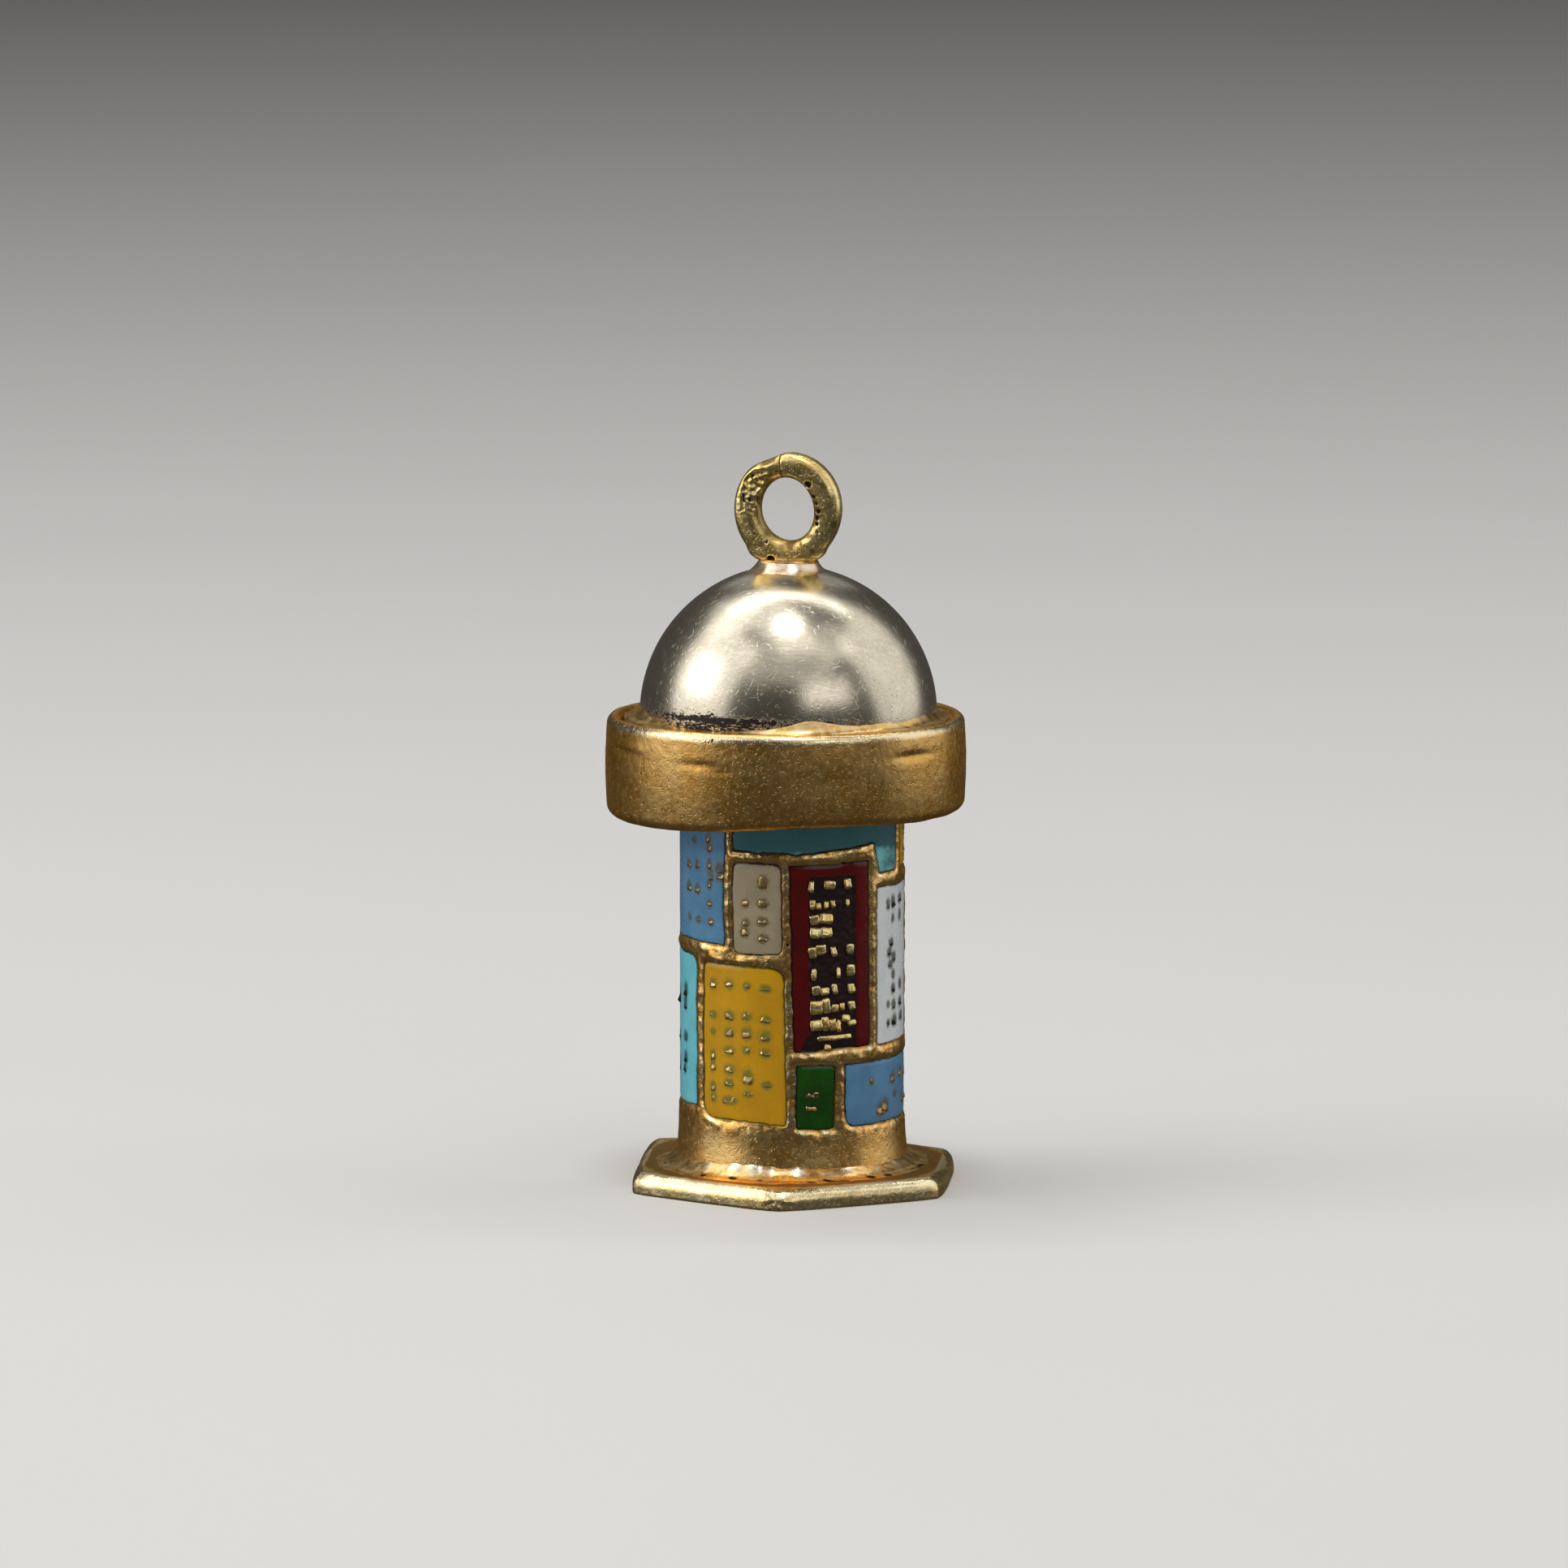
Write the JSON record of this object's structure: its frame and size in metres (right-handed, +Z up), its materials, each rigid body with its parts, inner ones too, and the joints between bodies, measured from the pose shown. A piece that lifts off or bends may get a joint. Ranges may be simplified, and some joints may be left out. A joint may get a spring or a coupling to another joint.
{
  "type": "souvenir charm",
  "caption": "Gold-coloured souvenir charm of an advertising column: six-sided foot plate, enamelled tube, wide collar, silver dome and hanging eyelet.",
  "frame": {"origin": "centre of the foot plate's underside, on the surface that the charm stands on", "axes": "+Z up, from the foot plate to the eyelet; -Y towards the viewer at the front, where a corner of the foot plate points; +X to the viewer's right"},
  "size_m": [0.0105, 0.0104, 0.0214],
  "materials": {
    "gold": "satin",
    "pale_solder": "satin",
    "silver": "satin",
    "blue_enamel": "gloss",
    "grey_enamel": "gloss",
    "teal_enamel": "gloss",
    "red_enamel": "gloss",
    "white_enamel": "gloss",
    "yellow_enamel": "gloss",
    "turquoise_enamel": "gloss",
    "green_enamel": "gloss"
  },
  "bodies": {
    "root": {"foot_plate": "gold", "foot_solder": "gold", "column_tube": "gold", "collar_hoop": "gold", "collar_disc": "gold", "dome_shell": "silver", "dome_solder": "gold", "eyelet_seat": "pale_solder", "eyelet_ring": "gold", "enamel_blue_upper": "blue_enamel", "enamel_grey": "grey_enamel", "enamel_teal_band": "teal_enamel", "enamel_red": "red_enamel", "enamel_white": "white_enamel", "enamel_yellow": "yellow_enamel", "enamel_turquoise": "turquoise_enamel", "enamel_green": "green_enamel", "enamel_blue_lower": "blue_enamel", "enamel_yellow_rear_top": "yellow_enamel", "enamel_green_rear": "green_enamel", "enamel_teal_rear_low": "teal_enamel", "enamel_red_rear": "red_enamel", "enamel_yellow_rear": "yellow_enamel", "enamel_white_rear": "white_enamel", "enamel_blue_rear": "blue_enamel", "enamel_turquoise_rear_low": "turquoise_enamel", "enamel_green_rear_top": "green_enamel", "enamel_grey_rear": "grey_enamel", "enamel_red_rear_low": "red_enamel", "enamel_yellow_rear_low": "yellow_enamel"}
  },
  "joints": []
}
